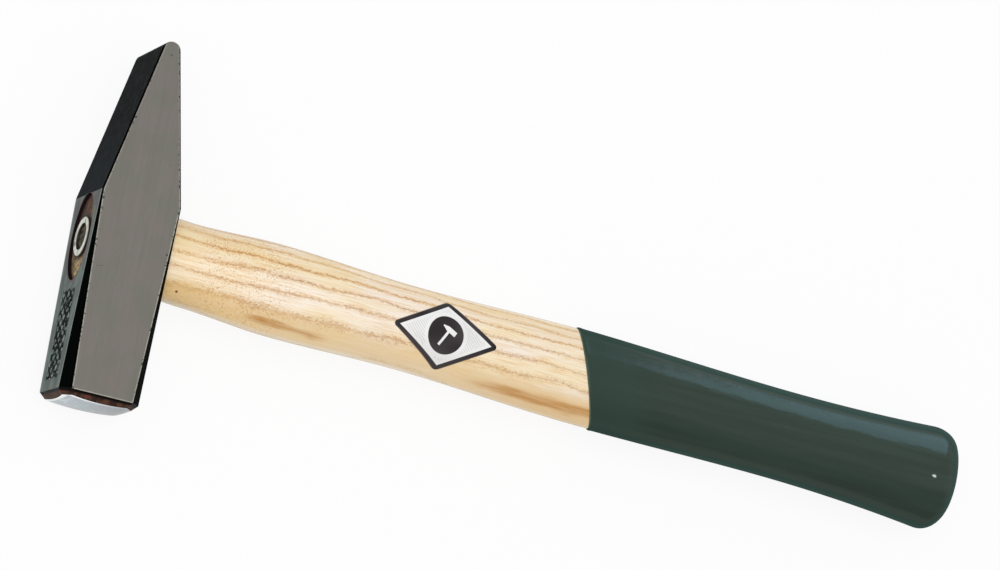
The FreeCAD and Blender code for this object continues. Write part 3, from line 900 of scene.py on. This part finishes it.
# %% Group: how near a point of the cheek is to its edge
outline, wear = new_group("cheek_outline", Wear=0.5)
where = places_in_mm(outline)
x, y, z = split(where)
pein_taper = (half_depth - nose_radius) / (nose_centre - knee_reach)
flat_taper = flat_leg_depth * (1 - flat_knee_share) / (face_reach + knee_reach)
flat_start = half_depth - flat_leg_depth * flat_knee_share
past_knee = y - knee_reach * 1000
pein_edge = (half_depth - edge_break) * 1000 - past_knee * pein_taper
poll_edge = past_knee * flat_taper + flat_start * 1000
side_edge = calc("MINIMUM", pein_edge, poll_edge) - abs(x)
nearest = calc("MINIMUM", side_edge, y - bevel_root * 1000)
wide = (noise(where, 0.6, detail=3) + 0.5) * wear
bites = (noise(where, 1.1) - 0.56) * 4.5
close_group(outline, Mask=fade(nearest / wide, 1.2, 0.5), Chips=calc("LESS_THAN", side_edge, bites))

# %% Ground cheeks
shader = new_finish("ground_cheek")
where = places_in_mm(shader)
x, y, z = split(where)
lines = place_group(shader, grinding, Along=(2.2, 0.06, 2.2))
edge = place_group(shader, outline, Wear=0.36)
dots = place_group(shader, specks, Per_millimetre=0.1, Size=0.028)["Mask"]
base = blend(fade(lines["Cloud"], 0.35, 0.65), (110, 109, 101), (117, 110, 105))
base = blend(fade(lines["Lines"], 0.35, 0.7, 0.0, 0.1), base, (98, 96, 90))
base = blend(edge["Mask"] * fade(y, 34.0, 8.0, 0.2, 0.52), base, (186, 184, 168))
base = blend(edge["Chips"] * 0.85, base, (20, 20, 18))
base = blend(dots * 0.7, base, (52, 50, 46))
pits = ((0.18, 61.0, 0.28), (8.89, 30.5, 0.24), (5.49, 49.0, 0.22), (11.5, -1.6, 0.4),
        (-8.46, 36.26, 0.5), (-12.5, 11.1, 0.55))
for pit_x, pit_y, pit_radius in pits:
    from_pit = vector_calc("DISTANCE", where, (pit_x, pit_y, 2000 * half_width), "Value")
    base = blend(fade(from_pit, pit_radius * 1.3, pit_radius * 0.5, 0.0, 0.8), base, (40, 38, 34))
scratch = fade(abs(y + 7.85 - x * 0.253), 0.16, 0.04) * fade(abs(x + 9.2), 1.5, 0.9)
base = blend(scratch * 0.45, base, (60, 57, 52))
paint(shader, base, lines["Lines"], mm(0.008), 0.4, Metallic=0.5,
      Roughness=fade(lines["Lines"], 0.3, 0.7, 0.44, 0.52))

# %% [markdown]
# ### The punched top of the poll
#
# The top of the poll carries a patch of crossed chisel cuts, sunk by a bump and dark where the
# black skin has stayed in the hollows. Two sets of slanting lines come from one ping-pong each;
# a rough noise pushes every cut a little aside and breaks it, as hand work on hot steel does,
# and dark blots lie where cuts have run together.

# %% Patch of chisel cuts
shader = new_finish("ground_top")
where = places_in_mm(shader)
x, y, z = split(where)
patch_middle, patch_half_long, patch_half_wide, cut_step = -31.8, 14.6, 5.8, 3.7
in_patch = y - patch_middle
hand = (noise(where, 0.5, detail=4, rough=0.65) - 0.5) * 3.4
broken = noise(where, 0.7, detail=3, rough=0.6)
runs = [in_patch + z * slant + hand + 20 * cut_step for slant in (0.85, -0.85)]
cut_masks = [fade(calc("PINGPONG", run, cut_step / 2), 1.0, 0.62) for run in runs]
blots = fade(noise(where, (0.36, 0.3, 0.3), detail=3, rough=0.65), 0.54, 0.58)
cuts = calc("MAXIMUM", blots, calc("MAXIMUM", *cut_masks) * fade(broken, 0.38, 0.46, 0.4, 1.0))
long_edge = fade(abs(in_patch) + hand, patch_half_long, patch_half_long - 0.5)
wide_edge = fade(abs(z) + hand, patch_half_wide, patch_half_wide - 0.5)
inside_patch = long_edge * wide_edge * calc("LESS_THAN", x, 0.0)
stamp = cuts * inside_patch
lip = (inside_patch - stamp) * fade(broken, 0.42, 0.6)
print("the patch of cuts is", 2 * patch_half_long, "x", 2 * patch_half_wide, "mm")

# %% Ground top
cloud = noise(where, (0.3, 0.12, 0.3), detail=4)
base = blend(fade(cloud, 0.38, 0.62), (88, 96, 93), (113, 127, 121))
near_eye = fade(abs(y - 4.0), 16.0, 8.0) * fade(noise(where, (0.5, 0.25, 0.5), detail=3), 0.4, 0.6)
base = blend(near_eye * 0.45, base, (104, 88, 98))
eye_share = distance(y / (mouth_height * 500), z / (mouth_width * 500))
eye_line = fade(eye_share, 1.075, 1.02) * fade(cloud, 0.35, 0.55, 0.4, 0.9)
base = blend(eye_line, base, (110, 86, 84))
base = blend(lip * 0.7, base, (160, 174, 166))
flat_edge = (y + face_reach * 1000) * 0.054 + (half_width - flat_leg_width) * 1000
pale_line = fade(abs(flat_edge - abs(z) - 0.5), 0.5, 0.2)
base = blend(pale_line * 0.45, base, (156, 168, 163))
base = blend(stamp, base, (12, 20, 18))
paint(shader, base, cloud * 0.15 + lip * 0.2 - stamp, mm(0.22), 0.8, Specular_IOR_Level=0.004,
      Metallic=fade(stamp, 0.0, 1.0, 0.4, 0.05), Roughness=fade(cloud, 0.3, 0.7, 0.42, 0.54))

# %% Black forge skin
shader = new_finish("black_forge_skin")
where = places_in_mm(shader)
x, y, z = split(where)
skin = noise(where, (0.5, 0.35, 0.5), detail=5, rough=0.6)
tip_black = blend(fade(skin, 0.35, 0.68), (8, 12, 14), (14, 19, 21))
knee_blue = blend(fade(skin, 0.35, 0.68), (18, 25, 28), (27, 35, 38))
base = blend(fade(y, 44.0, 18.0), tip_black, knee_blue)
base = blend(fade(y, 12.5, 14.5), (5, 8, 6), base)
eye_share = distance(y / (mouth_height * 500), z / (mouth_width * 500))
base = blend(fade(eye_share * eye_share, 1.05, 0.95), base, (40, 29, 29))
dots = place_group(shader, specks, Per_millimetre=0.5, Size=0.07)["Mask"]
base = blend(dots * 0.2, base, (70, 76, 78))
from_cheek = half_width * 1000 - abs(z)
base = blend(fade(from_cheek - noise(where, 0.9), 0.35, 0.1), base, (4, 5, 4))
paint(shader, base, skin, mm(0.03), 0.5, Specular_IOR_Level=0.003,
      Roughness=fade(skin, 0.3, 0.7, 0.32, 0.48))

# %% Browned bevel
shader = new_finish("browned_bevel")
where = places_in_mm(shader)
patch = noise(where, 0.35, detail=4, rough=0.65)
base = blend(fade(patch, 0.4, 0.56), (56, 39, 33), (84, 62, 48))
base = blend(fade(patch, 0.56, 0.66), base, (120, 54, 46))
black_line = fade(split(where)[1], bevel_root * 1000 - 1.1, bevel_root * 1000 - 0.5)
base = blend(black_line, base, (14, 12, 10))
paint(shader, base, patch, mm(0.04), 0.5, Specular_IOR_Level=0.03,
      Roughness=fade(patch, 0.3, 0.7, 0.36, 0.5))

# %% Bright face
shader = new_finish("bright_face")
x, y, z = split(places_in_mm(shader))
lines = place_group(shader, grinding, Along=(0.5, 1.0, 0.9))
strokes = place_group(shader, grinding, Along=(0.9, 1.0, 0.16))
base = blend(fade(lines["Cloud"], 0.38, 0.62), (174, 177, 185), (166, 184, 188))
base = blend(fade(strokes["Lines"], 0.48, 0.66, 0.0, 0.75), base, (212, 221, 223))
# Painted shade: the face is made darker towards the handle's side of the head.
base = blend(fade(x, -7.0, 8.0, 0.0, 0.72), base, (139, 140, 142))
base = blend(fade(lines["Lines"], 0.5, 0.7, 0.0, 0.5), base, (168, 172, 184))
# A pale ground rim round the face, with a painted highlight that makes it far brighter towards the top
# of the head.
past_bevel = calc("MAXIMUM", abs(x) - (half_depth - face_bevel) * 1000,
                  abs(z) - (half_width - face_bevel) * 1000)
face_rim_highlight = fade(past_bevel, -0.9, 0.3) * fade(x, 9.0, -5.0, 0.15, 0.95)
base = blend(face_rim_highlight, base, (246, 249, 249))
paint(shader, base, strokes["Lines"], mm(0.03), 0.5, Metallic=0.85,
      Roughness=fade(strokes["Lines"], 0.3, 0.7, 0.3, 0.44))

# %% Worn edges
shader = new_finish("worn_edge")
lines = place_group(shader, grinding, Along=(1.0, 0.4, 1.0))
base = blend(fade(lines["Lines"], 0.38, 0.62), (150, 150, 142), (120, 118, 110))
paint(shader, base, lines["Lines"], mm(0.01), 0.4, Metallic=0.5,
      Roughness=fade(lines["Cloud"], 0.3, 0.7, 0.36, 0.5))

# %% [markdown]
# ## Finishes of the handle
#
# The bare wood has a thin clear lacquer: a coat over the wood's own colour, so the grain stays
# matt underneath while the surface shines softly. On top of the grain lie the things that make
# one handle different from the next: a darker side, two streaks of heartwood that run out low
# on the face's side, a patch of small flecks behind the head and one tiny knot.

# %% Lacquered ash
shader = new_finish("lacquered_ash", ash_handle)
where = places_in_mm(shader)
x, y, z = split(where)
off_axis = y + x * lean
grain = place_group(shader, ash, Spacing=3.8, Shift=0.42)
wobble = (noise(where, (0.08, 0.2, 0.2)) - 0.5) * 5.0
strands = noise(where, (0.05, 0.9, 0.9), detail=3, rough=0.6)
low_side = fade(off_axis + wobble * 0.6, -6.2, -9.6)
base = blend(low_side * 0.68, grain["Color"], (240, 206, 148))
high_side = fade(off_axis, 6.0, 11.0) * fade(strands, 0.35, 0.62)
base = blend(high_side * 0.5, base, (238, 198, 132))
dark_end = fade(x, 112.0, 150.0) * fade(off_axis, -8.8, -11.5)
base = blend(dark_end * 0.42, base, (230, 184, 112))
for middle, half_long, off, wide in ((57, 17, -11.8, 1.5), (152, 34, -12.3, 2.0)):
    streak = fade(abs(off_axis - off + wobble * 0.5), wide, wide * 0.2)
    streak = streak * fade(abs(x - middle), half_long, half_long * 0.45)
    base = blend(streak * fade(strands, 0.3, 0.6, 0.45, 1.0) * 0.85, base, (196, 134, 56))
flecks = fade(noise(where, (1.5, 1.9, 1.9), detail=3, rough=0.7), 0.57, 0.64)
base = blend(flecks * fade(abs(x - 40), 22, 8.8) * 0.75, base, (192, 134, 72))
base = blend(fade(x, 66.0, 30.0), base, (255, 248.15, 228.54), kind="MULTIPLY")
knot_x, knot_y, knot_radius = 19.4, -10.6, 0.42
knot_z = wood_top(mm(knot_x), mm(knot_y)) * 1000
from_knot = vector_calc("DISTANCE", where, (knot_x, knot_y, knot_z), "Value")
base = blend(fade(from_knot, knot_radius * 1.5, knot_radius * 0.7), base, (136, 86, 54))
# Painted reflection: a thin pale line along the face's side of the handle near the head, standing in for
# a gloss line.
painted_gloss_line = fade(abs(z - 1.7), 1.5, 0.6) * fade(off_axis, -11.0, -12.6) * fade(x, 126.0, 96.0)
base = blend(painted_gloss_line * 0.5, base, (252, 238, 214))
# Painted shade: the wood is darkened towards its outline, where the surface turns away from the eye.
base = blend(fade(turned_away(shader), 0.7, 0.92, 0.0, 0.7), base, (178, 144, 98))
paint(shader, base, grain["Height"], mm(0.05), 0.8, Specular_IOR_Level=0.2, Coat_Weight=0.85,
      Coat_Roughness=0.1, Roughness=fade(grain["Pores"], 0.0, 1.0, 0.42, 0.6))

# %% [markdown]
# ### The sawn end in the eye
#
# End grain drinks oil and rust from the eye, so it is much darker than the side of the handle:
# red-brown towards the pein, ochre towards the face, and nearly black inside the ring, where
# the wood was crushed when the ring was driven in. Painted shade darkens it further on its
# lower side, and a painted shadow lies round the raised ring.

# %% Oiled end grain
shader = new_finish("oiled_end", ash_handle)
where = places_in_mm(shader)
x, y, z = split(where)
from_middle = distance(y, z)
rough_saw = noise(where, (1.0, 0.8, 1.3), detail=4, rough=0.7)
red_side = blend(fade(rough_saw, 0.36, 0.6), (34, 20, 15), (112, 78, 56))
ochre_side = blend(fade(rough_saw, 0.36, 0.6), (88, 66, 44), (206, 178, 128))
base = blend(fade(y, 3.0, -5.0), red_side, ochre_side)
ragged_z = z + rough_saw * 3.0
# Painted shade: the recessed end grain is darkened on its lower side, next to the eye's wall.
base = blend(fade(ragged_z, 0.7, -2.7, 0.0, 0.62), base, (44, 32, 31))
base = blend(fade(ragged_z, 4.1, 5.5, 0.0, 0.5), base, (164, 132, 88))
# Painted shadow: the wood just round the raised steel ring is darkened.
shade_beside_ring = fade(from_middle, 8.3, 6.9) * fade(rough_saw, 0.62, 0.42, 0.4, 0.95)
base = blend(shade_beside_ring, base, (22, 18, 15))
crushed = blend(fade(rough_saw, 0.44, 0.62), (22, 21, 15), (104, 94, 72))
base = blend(fade(from_middle, 4.6, 4.2), base, crushed)
rust = fade(distance(y / (end_height * 500), z / (end_thick * 500)), 0.86, 0.98)
base = blend(rust * 0.7, base, (62, 38, 44))
paint(shader, base, rough_saw, mm(0.5), 1.0, Specular_IOR_Level=0.2,
      Roughness=fade(rough_saw, 0.3, 0.7, 0.5, 0.7))
for polygon in ash_handle.data.polygons:
    polygon.material_index = 1 if polygon.center.x < half_depth - mm(0.5) else 0
print("handle finishes:", [m.name for m in ash_handle.data.materials])

# %% Ring steel
shader = new_finish("ring_steel", steel_ring)
where = places_in_mm(shader)
lines = place_group(shader, grinding, Along=(0.8, 0.7, 0.9))
dark_spots = noise(where, (0.5, 0.35, 0.6), detail=3)
base = blend(fade(lines["Lines"], 0.4, 0.62), (228, 231, 220), (190, 192, 179))
base = blend(fade(dark_spots, 0.55, 0.68), base, (126, 128, 113))
# Painted shade: below its rounded rim, down the bore and the outside of its wall, the ring is painted
# dark brown.
shade_below_rim = fade(split(where)[0], ring_top * 1000 + 0.05, ring_top * 1000 + 0.24)
base = blend(shade_below_rim, base, (38, 33, 27))
paint(shader, base, lines["Lines"], mm(0.12), 0.6, Metallic=fade(shade_below_rim, 0.0, 1.0, 0.45, 0.0),
      Roughness=fade(lines["Cloud"], 0.3, 0.7, 0.36, 0.52))

# %% [markdown]
# ## Finish of the grip
#
# The lacquer is a deep green with a high gloss, so the shader has a coat over its green. The
# surface isn't quite flat: it followed the wood and sagged a little as it dried, so long soft
# waves bend every reflection. At the dip line the film is so thin that the pale wood shines
# through it, and near that line and low on the sides, where hands rub it, it shines less.

# %% Green dipped lacquer
shader = new_finish("green_dip_lacquer", dipped_grip)
where = places_in_mm(shader)
x, y, z = split(where)
off_axis = y + x * lean
past_dip = x + (y * slant_y + z * slant_z) - dip_at * 1000
runs = noise(where, (0.02, 0.35, 0.35), detail=3)
sag = noise(where, (0.09, 0.22, 0.22), detail=3, rough=0.55)
base = blend(fade(runs, 0.35, 0.68), (40, 56, 47), (46, 63, 54))
# Painted shade: the green is made darker low on the face's side of the grip.
base = blend(fade(off_axis, -3.0, -13.0) * 0.15, base, (32, 45, 36))
base = blend(fade(past_dip, 0.55, 0.2) * 0.8, base, (176, 186, 152))
dots = place_group(shader, specks, Per_millimetre=0.1, Size=0.025)["Mask"]
base = blend(dots * 0.3, base, (110, 130, 124))
# A small pale speck is painted into the green lacquer at one spot.
speck_x, speck_y, speck_z, speck_squeeze = 295.4, -7.9, 26.6, 0.6
from_speck = vector_calc("DISTANCE", vector_calc("MULTIPLY", where, (speck_squeeze, 1.0, 1.0)),
                        (speck_x * speck_squeeze, speck_y, speck_z), "Value")
base = blend(fade(from_speck + noise(where, 2.0) * 0.6, 0.95, 0.5), base, (214, 226, 212))
away = turned_away(shader)
# Painted reflection: the green turns a paler teal towards the outline, where the coat is made to reflect
# less.
base = blend(fade(away, 0.38, 0.66, 0.0, 0.85), base, (61, 84, 79))
full_gloss = fade(past_dip, 6.0, 34.0, 0.3, 1.0)
base = blend(fade(full_gloss, 1.0, 0.3, 0.0, 0.75), base, (54, 72, 65))
handled = fade(off_axis, -10.0, -4.0, 0.45, 1.0)
paint(shader, base, sag, mm(0.26), 0.5, Specular_IOR_Level=0.0, Coat_Roughness=0.16,
      Coat_Weight=handled * full_gloss * fade(away, 0.37, 0.57, 0.9, 0.05),
      Roughness=fade(runs, 0.3, 0.7, 0.4, 0.5))

# %% [markdown]
# ### The print on the sticker
#
# The print is drawn with sums of distances: a dark rim along the diamond's sides, a white field
# with fine hatching, and a dark disc in the middle with a small white picture of a hammer.

# %% Printed sticker
shader = new_finish("printed_sticker", sticker)
where = places_in_mm(shader)
x, y, z = split(where)
east = x - sticker_middle.x * 1000
north = y - sticker_middle.y * 1000
side_share = abs(east) / (sticker_half.x * 1000) + abs(north) / (sticker_half.y * 1000)
from_side = (1.0 - side_share) * (side_distance * 1000)
away = distance(east, north)
white, charcoal = (247, 246, 244), (36, 29, 31)
hatch = fade(calc("PINGPONG", east + north + 40.0, 0.55), 0.2, 0.08)
hatched = hatch * fade(from_side, 2.3, 2.5) * fade(away, 7.4, 7.6)
base = blend(hatched * 0.35, white, (130, 130, 134))
base = blend(fade(from_side, 1.55, 1.4), base, charcoal)
base = blend(fade(away, 6.3, 6.15), base, charcoal)
tilt = math.radians(62)
along = east * math.cos(tilt) + north * math.sin(tilt)
beside = north * math.cos(tilt) - east * math.sin(tilt)
shaft = calc("MAXIMUM", abs(beside) - 0.42, abs(along + 0.6) - 3.4)
half_high = fade(beside, 0.4, 2.7, 0.85, 0.25)
small_head = calc("MAXIMUM", abs(beside) - 2.6, abs(along - 2.2) - half_high)
base = blend(fade(calc("MINIMUM", shaft, small_head), 0.08, -0.08), base, white)
sheen = fade(noise(where, (0.06, 0.1, 0.1), detail=1), 0.35, 0.65)
base = blend(sheen * 0.12, base, (150, 140, 142))
base = blend(fade(from_side, 0.3, 0.1) * 0.5, base, (150, 140, 132))
paint(shader, base, noise(where, 1.5), mm(0.01), 0.3, Specular_IOR_Level=0.22,
      Roughness=fade(sheen, 0.0, 1.0, 0.26, 0.4))

# %% [markdown]
# ## Floor, light and camera
#
# The hammer lies on a plain white floor. One large soft lamp hangs overhead and a tall bluish
# one, like a window, stands on the pein's side: its mirror image is the band along the grip.
# The world gives the rest, at a plain level, so that a colour looks as it was written.

# %% Floor
floor_half = 12
floor = mesh_object("floor", [(-floor_half, -floor_half, 0), (floor_half, -floor_half, 0),
                              (floor_half, floor_half, 0), (-floor_half, floor_half, 0)],
                    [(0, 1, 2, 3)])
shader = new_finish("floor_paper", floor)
feed(shader.inputs, Base_Color=(0.93, 0.93, 0.93, 1), Roughness=0.9, Specular_IOR_Level=0.1)
ray = {socket.name: Value(socket) for socket in add(shader, "ShaderNodeLightPath").outputs}
mirrored = calc("MAXIMUM", ray["Is Glossy Ray"], ray["Is Transmission Ray"])
seen = calc("MAXIMUM", ray["Is Camera Ray"], mirrored)
whiteness = add(shader, "ShaderNodeEmission")
feed(whiteness.inputs, Strength=1)
backdrop = add(shader, "ShaderNodeMixShader")
feed(backdrop.inputs, Fac=seen * 0.9)
links = shader.id_data.links
links.new(shader.outputs[0], backdrop.inputs[1])
links.new(whiteness.outputs[0], backdrop.inputs[2])
surface = next(node for node in shader.id_data.nodes if node.type == "OUTPUT_MATERIAL")
links.new(backdrop.outputs[0], surface.inputs["Surface"])
floor.location.z = -mm(0.05)
print("floor is", 2 * floor_half, "m wide")

# %% Lamps and world
def soft_lamp(name, place, target, width, depth, radiance, tint=(1, 1, 1)):
    """A flat soft lamp; the radiance is how bright it looks, where 1 is white paper."""
    data = bpy.data.lights.new(name, "AREA")
    data.shape = "RECTANGLE"
    data.size = width
    data.size_y = depth
    data.energy = radiance * math.pi * width * depth
    data.color = tint
    lamp = bpy.data.objects.new(name, data)
    lamp.location = place
    lamp.rotation_mode = "QUATERNION"
    lamp.rotation_quaternion = (Vector(target) - Vector(place)).to_track_quat("-Z", "Y")
    bpy.context.scene.collection.objects.link(lamp)
    print("lamp:", name, round(data.energy, 2), "W")


soft_lamp("overhead_lamp", (-0.35, 0.1, 1.9), (-0.35, 0.1, 0), 2.1, 1.8, 1.67)
soft_lamp("window_lamp", (1.32, 1.575, 0.72), (0.24, 0, 0.72), 0.56, 1.3, 1.5, (0.42, 0.8, 1.0))

world = bpy.data.worlds.new("studio")
world.use_nodes = True
bpy.context.scene.world = world
feed(world.node_tree.nodes["Background"].inputs, Color=(1, 1, 1, 1), Strength=0.54)
bpy.context.scene.view_settings.view_transform = "Standard"

# %% [markdown]
# ### The camera
#
# The camera stands where the photographer's stood. Its place, its three directions and its
# focal length were worked out from the straight edges of the head and the line of the handle.

# %% Camera at the photograph's place
frame_width, focal_in_pixels, sensor_width = 1000, 3831.536, 36
camera_data = bpy.data.cameras.new("camera")
camera = bpy.data.objects.new("camera", camera_data)
bpy.context.scene.collection.objects.link(camera)
right = Vector((0.89287488, 0.17394588, 0.41535200))
down = Vector((0.24068051, -0.96392123, -0.11370466))
forward = Vector((0.38058815, 0.20149117, -0.90252644))
turn = Matrix((right, -down, -forward)).transposed().to_4x4()
camera.matrix_world = Matrix.Translation((-0.34937584, -0.23401567, 1.15095978)) @ turn
camera_data.sensor_width = sensor_width
camera_data.lens = sensor_width * focal_in_pixels / frame_width
camera_data.clip_start = 0.05
camera_data.clip_end = 40
bpy.context.scene.camera = camera
print("lens", round(camera_data.lens, 1), "mm")
